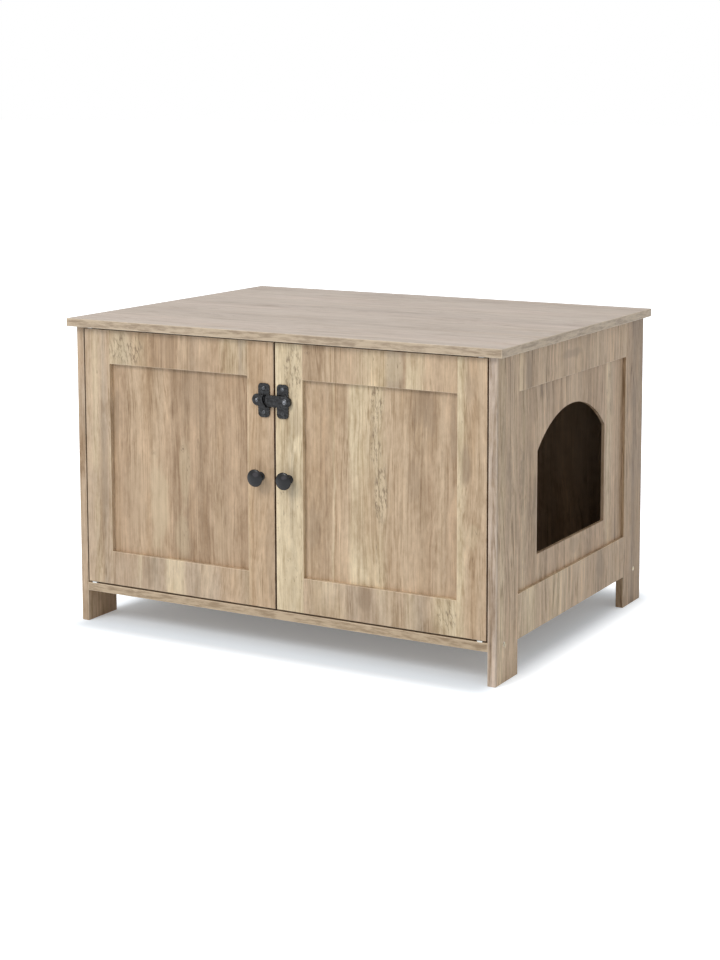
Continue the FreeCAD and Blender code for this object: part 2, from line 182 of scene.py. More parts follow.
def sideDistance(given):
    # how far a point lies from the nearest sides of a box, along x, y and z
    fromLow = vectorCalc("ABSOLUTE", vectorCalc("SUBTRACT", given["Vector"], given["Low"]))
    fromHigh = vectorCalc("ABSOLUTE", vectorCalc("SUBTRACT", given["High"], given["Vector"]))
    return splitVector(vectorCalc("MINIMUM", fromLow, fromHigh))


def nearSide(distance, width):
    # 1 beside the side, 0 from the width onwards
    return remap(distance, times(width, 0.4), width, 1.0, 0.0)


def buildPlankTones():
    # where a point lies across a board's coloured strips, with wandering borders
    group, given, result = newGroup(
        "plankTones",
        {"Vector": "Vector", "Across": "Vector", "From": "Float", "To": "Float", "Wander": "Float"},
        {"Place": "Float"})
    slow = minus(noise(given["Vector"], 7, 4.5), 0.5)
    quick = minus(noise(given["Vector"], 70, 16, 3, 0.65), 0.5)
    drift = plus(slow, times(quick, 0.9))
    drift = times(drift, times(given["Wander"], 2.0))
    across = vectorCalc("DOT_PRODUCT", given["Vector"], given["Across"], result="Value")
    place = minus(plus(across, drift), given["From"])
    span = minus(given["To"], given["From"])
    feed(result["Place"], calc("DIVIDE", place, span, clamp=True))
    return group


oakPrint = {
    # each field of the print: cycles per metre across and along the grain, detail, roughness
    "slowBend": (5, 2.2),
    "quickBend": (16, 5),
    "broad": (52, 2, 2, 0.6),
    "lines": (165, 3.4, 3, 0.7),
    "lineZone": (14, 5),
    "vein": (62, 1.6, 1),
    "veinZone": (12, 6, 3, 0.6),
    "fibre": (520, 10, 2, 0.6),
    "figure": (13, 1.3, 2, 0.45),
    "figureZone": (8, 3, 1),
    "cloud": (26, 10, 4, 0.62, 0.6),
    "fleck": (150, 60, 3, 0.7),
    "pores": (330, 13, 2, 0.6),
    "poreZone": (21, 7),
    "fadeZone": (11, 5.5, 3, 0.6),
    "greyZone": (30, 4, 3, 0.6),
    "warmZone": (24, 3, 2, 0.6),
    # how far the grain bends, in metres
    "slowSway": 0.05,
    "quickSway": 0.014,
    # contours of the figure, coarse and fine
    "flames": 62,
    "fineFlames": 170,
    "darkest": 0.25,
    # tints that the print is multiplied by
    "greyTint": tone(222, 214, 203),
    "warmTint": tone(250, 241, 228),
    "darkTint": tone(255, 243, 226),
}


def buildOakGrain():
    # printed oak: growth lines, veins, fibres, flame figure, pores and cloudy patches
    group, given, result = newGroup(
        "oakGrain",
        {"Vector": "Vector", "Base": "Color", "Mean": "Color", "Lines": "Float", "Fibre": "Float",
         "Figure": "Float", "Pores": "Float", "Cloud": "Float", "Greying": "Float", "Fade": "Float"},
        {"Color": "Color", "Roughness": "Float", "Height": "Float"})
    vector = given["Vector"]

    def field(name, place):
        return noise(place, *oakPrint[name])

    def shifted(place, *step):
        return vectorCalc("ADD", place, step)

    slowBend = times(field("slowBend", vector), oakPrint["slowSway"])
    quickBend = times(field("quickBend", shifted(vector, 3.1, 7.7, 1.3)), oakPrint["quickSway"])
    bend = plus(slowBend, quickBend)
    bent = vectorCalc("ADD", vector, addNode("ShaderNodeCombineXYZ", {"X": bend, "Y": bend}).outputs[0])
    lines = field("lines", bent)
    lineZone = remap(field("lineZone", vector), 0.35, 0.65, 0.35, 1.0)
    # thin dark veins run where a smooth field crosses its middle
    crossing = calc("ABSOLUTE", minus(field("vein", bent), 0.5))
    veins = times(remap(crossing, 0.0, 0.05, 1.0, 0.0),
                  remap(field("veinZone", vector), 0.42, 0.62))
    fibre = field("fibre", bent)
    figure = field("figure", bent)
    broadFlame = times(calc("SINE", times(figure, oakPrint["flames"])), 0.55)
    fineFlame = times(calc("SINE", times(figure, oakPrint["fineFlames"])), 0.45)
    flame = plus(broadFlame, fineFlame)
    flame = times(flame, remap(field("figureZone", vector), 0.42, 0.62))
    cloud = field("cloud", vector)
    pores = times(remap(field("pores", bent), 0.57, 0.7),
                  remap(field("poreZone", vector), 0.38, 0.66))

    # the level swings round 1, so the base colour keeps its own
    level = 1.0
    for value, amount in (
        (field("broad", bent), times(given["Lines"], 0.45)),
        (lines, times(given["Lines"], lineZone)),
        (fibre, given["Fibre"]),
        (cloud, given["Cloud"]),
        (field("fleck", vector), times(given["Cloud"], 0.75)),
    ):
        swing = times(minus(value, 0.5), 2.0)
        level = plus(level, times(swing, amount))
    level = plus(level, times(flame, given["Figure"]))
    level = minus(level, times(pores, given["Pores"]))
    level = minus(level, times(veins, times(given["Lines"], 0.42)))
    level = calc("MAXIMUM", level, oakPrint["darkest"])

    faded = remap(field("fadeZone", vector), 0.34, 0.66, 0.15, 0.85)
    base = mixColour(times(faded, given["Fade"]), given["Base"], given["Mean"])
    greyZone = remap(field("greyZone", bent), 0.5, 0.72)
    greyed = mixColour(1.0, base, oakPrint["greyTint"], "MULTIPLY")
    colour = mixColour(times(greyZone, given["Greying"]), base, greyed)
    warmZone = remap(field("warmZone", shifted(bent, 9.0, 2.0, 4.0)), 0.52, 0.74)
    warmed = mixColour(1.0, base, oakPrint["warmTint"], "MULTIPLY")
    colour = mixColour(times(warmZone, 0.4), colour, warmed)
    # what is darker is also browner
    depth = times(minus(1.0, level), 2.2, clamp=True)
    browned = mixColour(1.0, colour, oakPrint["darkTint"], "MULTIPLY")
    colour = mixColour(depth, colour, browned)
    feed(result["Color"], vectorCalc("SCALE", colour, level))
    rough = plus(0.5, times(minus(cloud, 0.5), 0.2))
    feed(result["Roughness"], plus(rough, times(pores, 0.15)))
    height = plus(times(fibre, 0.5), times(lines, 0.3))
    feed(result["Height"], minus(height, times(pores, 0.6)))
    return group


def buildSawMarks():
    # a patch of short torn ticks, as rough sawing leaves them, with a soft ragged outline
    group, given, result = newGroup(
        "sawMarks",
        {"Vector": "Vector", "Centre": "Vector", "Reach": "Vector", "Tilt": "Float", "Density": "Float"},
        {"Mask": "Float", "Patch": "Float"})
    local, distance = markDistance(given, (45, 20, 2, 0.6), 1.3)
    patch = remap(distance, 0.5, 1.05, 1.0, 0.0)
    turned = addNode("ShaderNodeVectorRotate", {"Vector": local, "Angle": given["Tilt"]},
                     rotation_type="Y_AXIS").outputs[0]
    ticks = noise(turned, 250, 70, 3, 0.65, 0.5)
    strokes = noise(vectorCalc("ADD", turned, (2.0, 1.0, 5.0)), 120, 34, 3, 0.7, 0.7)
    limit = minus(0.7, times(given["Density"], 0.24))
    full = plus(limit, 0.16)
    marks = calc("MAXIMUM", remap(ticks, limit, full), remap(strokes, limit, full))
    feed(result["Mask"], times(marks, patch))
    feed(result["Patch"], patch)
    return group


def buildKnotMark():
    # a small knot or mineral mark: a dark heart in a paler ring
    group, given, result = newGroup(
        "knotMark", {"Vector": "Vector", "Centre": "Vector", "Reach": "Vector"}, {"Mask": "Float"})
    distance = markDistance(given, (170, 90), 0.9)[1]
    heart = remap(distance, 0.15, 0.55, 1.0, 0.0)
    ring = remap(calc("ABSOLUTE", minus(distance, 0.85)), 0.05, 0.3, 0.35, 0.0)
    feed(result["Mask"], calc("MAXIMUM", heart, ring))
    return group


def buildArrisWearAndHighlight():
    # 1 along the edges of a box, where the print's foil is rubbed paler and a painted highlight lies on
    # the eased edge
    group, given, result = newGroup("arrisWearAndHighlight", boxInputs, {"Edge": "Float"})
    parts = sideDistance(given)
    small = calc("MINIMUM", parts["X"], parts["Y"])
    large = calc("MAXIMUM", parts["X"], parts["Y"])
    second = calc("MAXIMUM", small, calc("MINIMUM", large, parts["Z"]))
    rubbed = remap(noise(given["Vector"], 60, 60, 3, 0.7), 0.3, 0.6, 0.35, 1.0)
    feed(result["Edge"], times(nearSide(second, given["Width"]), rubbed))
    return group


def buildRimShade():
    # painted shade: 1 on the faces that bound a door to the left, right, top and bottom, which its narrow
    # gaps keep in shadow
    group, given, result = newGroup("rimShade", boxInputs, {"Rim": "Float"})
    parts = sideDistance(given)
    nearest = calc("MINIMUM", parts["X"], parts["Z"])
    ragged = remap(noise(given["Vector"], 160, 40, 2, 0.6), 0.2, 0.5, 0.8, 1.0)
    feed(result["Rim"], times(nearSide(nearest, given["Width"]), ragged))
    return group


def buildCastSkin():
    # hammered, powder-coated iron: shallow dents, fine orange peel and worn high spots
    group, given, result = newGroup(
        "castSkin", {"Vector": "Vector", "Base": "Color", "Dent": "Float", "Gloss": "Float"},
        {"Color": "Color", "Roughness": "Float", "Height": "Float"})
    cells = addNode("ShaderNodeTexVoronoi", {
        "Vector": vectorCalc("MULTIPLY", given["Vector"], (190, 190, 190)),
        "Scale": 1, "Smoothness": 0.7,
    }, feature="SMOOTH_F1")
    dents = times(cells.outputs["Distance"], given["Dent"])
    peel = noise(given["Vector"], 1500, 1500)
    cloud = noise(given["Vector"], 90, 90, 3, 0.6)
    worn = remap(cloud, 0.55, 0.8)
    rubbed = vectorCalc("SCALE", given["Base"], 1.9)
    feed(result["Color"], mixColour(worn, given["Base"], rubbed))
    rough = plus(given["Gloss"], times(minus(cloud, 0.5), 0.25))
    feed(result["Roughness"], rough)
    feed(result["Height"], plus(dents, times(peel, 0.06)))
    return group


plankTones = buildPlankTones()
oakGrain = buildOakGrain()
sawMarks = buildSawMarks()
knotMark = buildKnotMark()
arrisWearAndHighlight = buildArrisWearAndHighlight()
rimShade = buildRimShade()
castSkin = buildCastSkin()
print("shared effects built")


oakTones = {
    "cream": tone(216, 197, 164),
    "pale": tone(206, 185, 153),
    "tan": tone(194, 169, 140),
    "honey": tone(193, 165, 134),
    "brown": tone(180, 153, 125),
    "umber": tone(165, 139, 111),
    "rose": tone(187, 165, 141),
    "grey": tone(172, 154, 132),
    "sage": tone(186, 169, 142),
    "shade": tone(146, 124, 101),
    # a painted deep shade, on the back panel's right end
    "dusk": tone(96, 78, 62),
    "ash": tone(186, 171, 157),
    "ashRose": tone(192, 175, 162),
    "ashDark": tone(170, 154, 141),
}
# what a board shows where its own look doesn't say otherwise
boardLook = {
    "mean": "tan", "lines": 0.5, "fibre": 0.3, "figure": 0.07, "pores": 0.3, "cloud": 0.34,
    "greying": 0.6, "fade": 0.9, "wander": 0.006, "arris": 0.0013, "shine": 0.3,
    # marks lie on the board's face, so many millimetres along y or x, and reach so deep
    "face": 0, "markDepth": 30, "patchDepth": 40,
    "sawn": [], "knots": [], "drawn": [], "smudges": [], "patches": [],
}
# how strongly the foil shows its marks and edges, and in which tones
foil = {
    "markTone": tone(112, 91, 70),
    "sawnPale": 0.3,
    "sawnDark": 0.75,
    "bandTones": (tone(146, 124, 99), tone(192, 171, 143)),
    "banded": 0.85,
    # painted shade on the doors' outer edges, for their dark gaps
    "rimTone": tone(106, 72, 42),
    "rimWidth": 0.0012,
    # paler rubbed foil and a painted highlight along the board edges
    "wearAndHighlightTone": tone(230, 212, 184),
    "worn": 0.45,
    "boardTone": tone(150, 118, 86),
    "relief": 0.00025,
    # how far each next board's print is taken from the last one's
    "seedStep": (0.731, 0.417, 1.113),
}


def drawIn(owner):
    # starts on the empty node tree of a material or a world
    owner.use_nodes = True
    owner.node_tree.nodes.clear()
    drawing["tree"] = owner.node_tree


def newMaterial(name):
    material = bpy.data.materials.new(name)
    drawIn(material)
    shader = addNode("ShaderNodeBsdfPrincipled")
    addNode("ShaderNodeOutputMaterial", {"Surface": shader.outputs[0]})
    return material, shader, objectPlace()


def setShader(shader, values, height, distance, strength=1.0):
    # the shader's own values, and a bump from a height pattern
    bump = addNode("ShaderNodeBump", {"Height": height, "Distance": distance, "Strength": strength})
    for key, value in {**values, "Normal": bump.outputs["Normal"]}.items():
        feed(shader.inputs[key], value)


def placeMark(group, place, centre, reach, **more):
    # centre and reach are in millimetres along x, y and z
    return placeGroup(group, {
        "Vector": place, "Centre": spot(*centre), "Reach": reachOf(*reach), **more})


def tint(colour, mask, strength, over):
    return mixColour(times(mask, strength), colour, over)


def oakMaterial(node, look):
    # one printed board: strips of tone across it, grain along it, and its own marks
    material, shader, place = newMaterial(node + "Oak")
    low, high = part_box(node)
    lying = look["across"] == "depth"
    alongX = look["across"] == "width"
    grainPlace = addNode("ShaderNodeMapping", {
        "Vector": place,
        "Rotation": (0, math.radians(90) if lying else 0, 0),
        "Location": [look["seed"] * step for step in foil["seedStep"]],
    }).outputs[0]
    strips = look["strips"]
    start, end = min(strips), max(strips)
    offset = 0 if alongX else frontPlane
    band = placeGroup(plankTones, {
        "Vector": place,
        "Across": (1, 0, 0) if alongX else (0, 1, 0),
        "From": offset + start / 1000,
        "To": offset + end / 1000,
        "Wander": look["wander"],
    })
    ramp = addNode("ShaderNodeValToRGB", {"Fac": band["Place"]})
    elements = ramp.color_ramp.elements
    while len(elements) < len(strips):
        elements.new(0.5)
    for element, (position, name) in zip(elements, strips.items()):
        element.position = (position - start) / (end - start)
        element.color = oakTones[name]
    amounts = ("Lines", "Fibre", "Figure", "Pores", "Cloud", "Greying", "Fade")
    grain = placeGroup(oakGrain, {
        "Vector": grainPlace, "Base": ramp.outputs["Color"], "Mean": oakTones[look["mean"]],
        **{name: look[name.lower()] for name in amounts}})
    colour, height = grain["Color"], grain["Height"]

    def onFace(group, deep, across, up, halfAcross, halfUp, **more):
        if look["across"] == "side":
            centre, reach = (look["face"], across, up), (look[deep], halfAcross, halfUp)
        else:
            centre, reach = (across, look["face"], up), (halfAcross, look[deep], halfUp)
        return placeMark(group, place, centre, reach, **more)

    smudges = [(*smudge, "shade") for smudge in look["smudges"]]
    for *area, strength, name in smudges + look["patches"]:
        patch = onFace(sawMarks, "patchDepth", *area)["Patch"]
        colour = tint(colour, patch, strength, oakTones[name])
    for *area, tilt, density in look["sawn"]:
        marks = onFace(sawMarks, "patchDepth", *area, Tilt=tilt, Density=density)
        colour = tint(colour, marks["Patch"], foil["sawnPale"], oakTones["cream"])
        colour = tint(colour, marks["Mask"], foil["sawnDark"], foil["markTone"])
        height = minus(height, marks["Mask"])
    for *area, strength in look["knots"] + look["drawn"]:
        mark = onFace(knotMark, "markDepth", *area)["Mask"]
        colour = tint(colour, mark, strength, foil["markTone"])
    if lying:
        # the banding round a lying board is browner, with its own fine lines
        facing = splitVector(addNode("ShaderNodeNewGeometry").outputs["Normal"])["Z"]
        banded = remap(calc("ABSOLUTE", facing), 0.3, 0.6, 1.0, 0.0)
        fine = remap(noise(place, 26, 170, 4, 0.7), 0.36, 0.6)
        colour = tint(colour, banded, foil["banded"], mixColour(fine, *foil["bandTones"]))
    if "rim" in look:
        # painted shade: the outer edges of a door darkened, as its narrow gaps are in shadow
        doorLow, doorHigh = look["rim"]
        rim = placeGroup(rimShade, {
            "Vector": place, "Low": doorLow, "High": doorHigh, "Width": foil["rimWidth"]})
        colour = mixColour(rim["Rim"], colour, foil["rimTone"])
    # painted highlight and rubbed foil: the board's edges turn paler
    edge = placeGroup(arrisWearAndHighlight, {
        "Vector": place, "Low": low, "High": high, "Width": look["arris"]})
    colour = tint(colour, edge["Edge"], foil["worn"], foil["wearAndHighlightTone"])
    if "plainBehind" in look:
        # behind this distance the foil ends and bare brown fibreboard shows
        speckle = remap(noise(place, 900, 900, 3, 0.7), 0.3, 0.7, 0.82, 1.1)
        clouds = remap(noise(place, 7, 7, 4, 0.6), 0.3, 0.7, 0.92, 1.06)
        bare = vectorCalc("SCALE", foil["boardTone"][:3], times(speckle, clouds))
        limit = frontPlane + look["plainBehind"] / 1000
        behind = calc("GREATER_THAN", splitVector(place)["Y"], limit)
        colour = mixColour(behind, colour, bare)
    setShader(shader, {
        "Base Color": colour, "Roughness": grain["Roughness"], "Specular IOR Level": look["shine"],
    }, height, foil["relief"], 0.8)
    return material


def dress(node, material):
    for slot in nodes[node].material_slots:
        slot.material = material


# Each board's tones go across it, at millimetres along x on the doors and the back, and
# from the door faces on the sides and the lying boards. Marks give their place across and
# up, half their width and height, and then their strength; saw marks give tilt and density.
leftDoor = {
    "left_door_outer_stile": {
        "mean": "rose",
        "strips": {-408: "tan", -398: "tan", -386: "pale", -376: "tan", -369: "grey", -363: "rose",
                   -357: "tan", -353: "pale"},
        "knots": [(-381.6, 468, 2.2, 4, 0.7)],
        "drawn": [(-390, 420, 1.2, 90, 0.3), (-374, 230, 1.4, 110, 0.35), (-398, 200, 1.2, 80, 0.3)],
        "smudges": [(-369, 300, 10, 150, 0.35)],
    },
    "left_door_top_rail": {
        "mean": "brown", "figure": 0.12,
        "strips": {-355: "pale", -318: "sage", -302: "tan", -278: "pale", -266: "tan", -260: "umber",
                   -243: "brown", -222: "umber", -208: "brown", -190: "tan", -170: "rose", -150: "tan",
                   -118: "honey", -106: "cream", -80: "pale", -74: "grey", -68: "sage", -57: "pale"},
        "sawn": [(-316, 514, 46, 34, 0.25, 0.8)],
        "knots": [(-262, 531, 3, 9, 0.5)],
        "patches": [(-225, 520, 24, 40, 0.4, "brown")],
    },
    "left_door_panel": {
        "face": 8, "mean": "brown",
        "strips": {-354: "honey", -330: "brown", -302: "tan", -278: "honey", -262: "tan", -246: "tan",
                   -233: "honey", -222: "brown", -215: "umber", -206: "brown", -190: "umber",
                   -176: "brown", -160: "umber", -145: "brown", -126: "tan", -106: "brown", -88: "honey",
                   -62: "umber"},
        "sawn": [(-196, 300, 14, 70, 0.3, 0.4), (-205, 180, 18, 50, 0.3, 0.4)],
        "knots": [(-263, 328, 5, 4, 0.55), (-199, 341, 4, 7, 0.6), (-166, 358, 7, 14, 0.3),
                  (-318, 300, 9, 16, 0.14)],
        "drawn": [(-222, 415, 3.0, 75, 0.4), (-160, 350, 3.0, 190, 0.35), (-128, 390, 2.2, 120, 0.35),
                  (-190, 230, 3.5, 110, 0.4), (-208, 190, 2.6, 80, 0.35), (-90, 230, 2.6, 130, 0.3),
                  (-112, 320, 2.0, 150, 0.25), (-334, 380, 2.4, 90, 0.25), (-146, 200, 2.4, 80, 0.3)],
        "smudges": [(-346, 395, 10, 60, 0.4), (-195, 170, 20, 50, 0.3), (-170, 430, 40, 60, 0.25)],
        "patches": [(-252, 240, 26, 100, 0.5, "pale"), (-300, 260, 30, 90, 0.3, "tan"),
                    (-112, 200, 26, 90, 0.3, "tan")],
    },
    "left_door_bottom_rail": {
        "mean": "rose",
        "strips": {-353: "brown", -336: "umber", -322: "brown", -300: "tan", -292: "cream", -287: "brown",
                   -258: "grey", -240: "rose", -229: "cream", -200: "cream", -188: "rose", -167: "grey",
                   -150: "sage", -126: "rose", -114: "honey", -86: "honey", -70: "tan", -56: "pale"},
        "smudges": [(-272, 110, 16, 30, 0.35)],
    },
    "left_door_inner_stile": {
        "mean": "honey",
        "strips": {-57: "pale", -49: "honey", -36: "tan", -21: "honey", -10: "tan", -1: "brown"},
        "drawn": [(-30, 300, 1.4, 120, 0.3), (-12, 430, 1.2, 60, 0.3)],
        "smudges": [(-12, 180, 12, 90, 0.3)],
    },
}
rightDoor = {
    "right_door_inner_stile": {
        "mean": "cream",
        "strips": {1: "cream", 15: "cream", 27: "pale", 36: "sage", 44: "cream", 56: "pale"},
        "sawn": [(36, 498, 24, 52, 0.12, 0.8), (11, 245, 13, 70, 0.1, 0.5), (32, 128, 24, 62, 0.3, 0.42),
                 (44, 225, 9, 70, 0.1, 0.4)],
        "smudges": [(45, 420, 10, 40, 0.35)],
    },
    "right_door_top_rail": {
        "strips": {56: "brown", 70: "umber", 90: "brown", 110: "tan", 121: "umber", 134: "brown",
                   158: "tan", 170: "cream", 195: "pale", 218: "cream", 227: "grey", 245: "grey",
                   256: "brown", 259: "cream", 290: "cream", 295: "honey", 318: "brown", 331: "honey",
                   353: "honey"},
        "sawn": [(236, 518, 18, 36, 0.2, 0.45), (190, 528, 18, 22, 0.15, 0.4)],
        "knots": [(66, 533, 6, 3, 0.7)],
    },
    "right_door_panel": {
        "face": 8,
        "strips": {56: "brown", 80: "honey", 95: "brown", 112: "tan", 113.5: "cream", 116: "honey",
                   140: "tan", 150: "cream", 175: "cream", 190: "pale", 205: "cream", 220: "tan",
                   240: "honey", 255: "tan", 264: "brown", 285: "umber", 300: "brown", 320: "tan",
                   336: "brown", 353: "umber"},
        "sawn": [(199, 452, 15, 62, 0.06, 0.85), (197, 380, 13, 40, 0.12, 0.85),
                 (206, 300, 18, 66, 0.2, 0.9)],
        "knots": [(197, 207, 2.2, 26, 0.6), (203, 165, 1.8, 22, 0.55), (322, 372, 1.6, 34, 0.4),
                  (92, 456, 2.4, 18, 0.4), (99, 362, 3, 12, 0.35)],
        "drawn": [(88, 400, 2.6, 80, 0.4), (84, 230, 4.0, 90, 0.3), (99, 300, 2.4, 60, 0.3),
                  (244, 250, 2.6, 120, 0.25), (270, 420, 4.0, 60, 0.35), (292, 440, 4.0, 50, 0.35),
                  (328, 250, 3.0, 110, 0.25), (212, 130, 2.4, 40, 0.4)],
        "smudges": [(290, 455, 30, 50, 0.35), (345, 420, 10, 70, 0.45), (70, 230, 18, 60, 0.35),
                    (268, 330, 16, 40, 0.3)],
    },
    "right_door_bottom_rail": {
        "mean": "rose",
        "strips": {56: "tan", 90: "pale", 125: "cream", 150: "rose", 164: "grey", 178: "umber",
                   193: "rose", 210: "cream", 250: "tan", 262: "pale", 288: "grey", 305: "tan",
                   318: "cream", 353: "cream"},
        "sawn": [(332, 106, 24, 34, 0.4, 0.75)],
        "smudges": [(176, 118, 18, 26, 0.5)],
    },
    "right_door_outer_stile": {
        "strips": {353: "cream", 360: "cream", 365: "pale", 373: "tan", 386: "honey", 398: "tan",
                   408: "honey"},
        "sawn": [(385, 250, 14, 26, 0.5, 0.42), (360, 400, 6, 110, 0.05, 0.4)],
        "smudges": [(369, 362, 13, 42, 0.6), (378, 500, 14, 36, 0.3)],
    },
}
rightSide = {
    "right_front_leg": {
        "face": 433, "markDepth": 40, "greying": 0.25, "lines": 0.85, "fade": 0.5,
        "strips": {0: "ashRose", 5: "rose", 9: "tan", 22: "pale", 35: "tan", 47: "brown", 56: "tan",
                   74: "tan", 85: "brown"},
        "drawn": [(50, 330, 30, 200, 0.3), (24, 420, 30, 90, 0.25)],
        "smudges": [(44, 300, 12, 140, 0.3)],
        # painted highlight: the pale patch below and behind the screw hole stands for its lit edge
        "patches": [(36.8, 62.6, 5.4, 7, 1.0, "cream")],
    },
    "right_top_rail": {
        "face": 433, "greying": 0.25, "lines": 0.95, "fade": 0.5,
        "strips": {85: "pale", 106: "tan", 116: "shade", 132: "umber", 140: "brown", 190: "tan",
                   214: "brown", 250: "tan", 290: "brown", 330: "tan", 370: "umber", 420: "tan",
                   470: "brown", 554: "tan"},
        "smudges": [(124, 510, 14, 44, 0.6), (300, 520, 50, 10, 0.5)],
    },
    "right_bottom_rail": {
        "face": 433, "greying": 0.3, "figure": 0.16, "lines": 0.75, "fade": 0.5,
        "strips": {85: "tan", 110: "pale", 134: "cream", 150: "pale", 165: "tan", 200: "tan", 250: "pale",
                   300: "tan", 360: "tan", 400: "brown", 432: "shade", 462: "brown", 500: "tan",
                   554: "brown"},
        "smudges": [(440, 105, 26, 22, 0.5)],
    },
    "right_entry_panel": {
        "face": 427, "markDepth": 40, "mean": "brown", "greying": 0.25, "lines": 0.95, "fade": 0.5,
        "strips": {77: "tan", 100: "brown", 118: "pale", 128: "tan", 150: "umber", 166: "tan",
                   250: "brown", 330: "tan", 400: "umber", 440: "brown", 470: "brown", 482: "pale",
                   500: "tan", 515: "brown", 562: "umber"},
        "knots": [(486, 455, 3, 9, 0.7), (478, 425, 4, 6, 0.6), (494, 400, 3, 12, 0.5)],
        "drawn": [(112, 330, 30, 160, 0.4), (139, 280, 30, 120, 0.35)],
        "smudges": [(165, 250, 12, 100, 0.4), (330, 170, 30, 16, 0.35), (500, 420, 8, 60, 0.4)],
    },
    # painted shade: this leg is toned darker, as the side falls into shade towards the back
    "right_rear_leg": {
        "face": 433, "mean": "umber", "greying": 0.2, "lines": 0.85, "fade": 0.6,
        "strips": {554: "umber", 575: "brown", 596: "shade", 612: "umber", 639: "shade"},
        "smudges": [(600, 200, 16, 110, 0.35)],
    },
}
leftSide = {
    # painted shade: this leg is toned darker brown, as its inner face under the cabinet lies in shadow
    "left_front_leg": {
        "mean": "brown",
        "strips": {0: "rose", 6: "tan", 25: "brown", 50: "umber", 66: "brown", 85: "tan"},
    },
    "left_top_rail": {
        "face": -433,
        "strips": {85: "rose", 140: "tan", 200: "umber", 260: "tan", 330: "cream", 390: "brown",
                   450: "grey", 554: "tan"},
        "smudges": [(240, 510, 30, 30, 0.4)],
    },
    "left_bottom_rail": {
        "face": -433,
        "strips": {85: "brown", 150: "tan", 210: "cream", 260: "rose", 340: "tan", 420: "umber",
                   490: "tan", 554: "rose"},
        "sawn": [(215, 95, 36, 26, 0.3, 0.5)],
    },
    "left_side_panel": {
        "face": -430,
        "strips": {77: "tan", 120: "brown", 150: "cream", 185: "pale", 225: "tan", 268: "umber",
                   300: "tan", 345: "rose", 372: "cream", 405: "brown", 450: "tan", 500: "grey",
                   562: "honey"},
        "sawn": [(170, 380, 18, 70, 0.1, 0.6), (365, 250, 22, 60, 0.2, 0.6)],
        "knots": [(330, 330, 5, 6, 0.5)],
        "smudges": [(270, 300, 24, 100, 0.4), (480, 420, 20, 60, 0.35)],
    },
    "left_rear_leg": {
        "strips": {554: "tan", 580: "rose", 605: "brown", 639: "tan"},
    },
}
backBoard = {
    # painted shade: the back is toned darker, darkest from 305 mm to its right end and in the smudge at
    # 300 mm, for the dark inside seen through the arch
    "back_panel": {
        "face": 624, "mean": "umber", "fade": 0.3, "plainBehind": 0,
        "strips": {-423: "brown", -340: "tan", -290: "umber", -215: "brown", -150: "shade", -60: "brown",
                   30: "umber", 110: "tan", 180: "brown", 250: "shade", 280: "umber", 305: "shade",
                   335: "dusk", 380: "shade", 423: "umber"},
        "smudges": [(300, 300, 60, 120, 0.4)],
    },
    "door_stop": {
        "strips": {-30: "brown", 0: "tan", 30: "brown"},
    },
}
lyingBoards = {
    "top_panel": {
        "mean": "ash", "lines": 0.32, "figure": 0.06, "greying": 0.4, "cloud": 0.1, "wander": 0.02,
        "arris": 0.0018, "shine": 0.5,
        "strips": {-12: "ash", 60: "ashRose", 130: "ash", 185: "ashDark", 240: "ash", 300: "ashRose",
                   350: "ashDark", 410: "ash", 480: "ashRose", 540: "ash", 600: "ashDark", 643: "ash"},
    },
    "bottom_board": {
        "wander": 0.02, "arris": 0.0018,
        "strips": {0: "tan", 100: "brown", 220: "tan", 330: "rose", 450: "brown", 639: "tan"},
    },
}


def dressBoards():
    seed = 1
    for boards, across in (
        (leftDoor, "width"), (rightDoor, "width"), (rightSide, "side"), (leftSide, "side"),
        (backBoard, "width"), (lyingBoards, "depth"),
    ):
        for node, look in boards.items():
            look = {**boardLook, "across": across, "seed": seed, **look}
            if "plainBehind" in look:
                back = sum(corner.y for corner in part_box(node)) / 2
                look["plainBehind"] += (back - frontPlane) * 1000
            if "_door_" in node:
                word = node.split("_door_")[0]
                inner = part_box(word + "_door_inner_stile")
                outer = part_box(word + "_door_outer_stile")
                look["rim"] = (outer[0], inner[1]) if word == "left" else (inner[0], outer[1])
            dress(node, oakMaterial(node, look))
            seed += 1
    print("boards dressed:", seed - 1)


dressBoards()

# painted glints for screw crowns
paintedGlintSteel = tone(190, 192, 198)
# painted sheen for the knobs
paintedSheenTone = tone(104, 99, 104)
# painted shadow for a screw socket
socketShade = tone(40, 32, 22)
castLooks = {
    "blackIron": {"tone": tone(25, 24, 25), "dent": 1.3, "gloss": 0.26, "shine": 0.3, "bump": 0.0022},
    "satinBlack": {
        "tone": tone(19, 18, 20), "dent": 0.12, "gloss": 0.3, "shine": 0.3, "bump": 0.0003,
        # painted sheen on each knob's face
        "paintedSheen": [((-26, -24, 317), (8, 30, 5.5), 0.28), ((32, -24, 317), (8, 30, 5.5), 0.28)],
    },
    "blackScrew": {
        "tone": tone(24, 24, 26), "dent": 0.1, "gloss": 0.22, "shine": 0.5, "bump": 0.0002,
        # painted glints on the crowns of the rivet and the screws
        "rubbed": [((-35, -3.5, 445.7), (4.2, 30, 4.2), 1.0, paintedGlintSteel),
                   ((25, -8.5, 446), (3.4, 30, 5.5), 1.0, paintedGlintSteel),
                   ((18.4, -3, 467.2), (2.8, 30, 2.8), 0.8, paintedGlintSteel),
                   ((-20, -3.5, 424.6), (2.6, 30, 2.6), 0.6, paintedGlintSteel),
                   ((-20.8, -3.5, 466.8), (2.8, 30, 2.8), 0.45, paintedGlintSteel)],
    },
    # painted light: the head is toned very pale, and a painted shadow lies on its socket's upper side
    "bronzeScrew": {
        "tone": tone(250, 240, 216), "dent": 0.1, "gloss": 0.4, "shine": 0.5, "bump": 0.0002,
        "rubbed": [((425, 31.8, 67.2), (30, 5.2, 5.2), 1.0, socketShade)],
    },
}


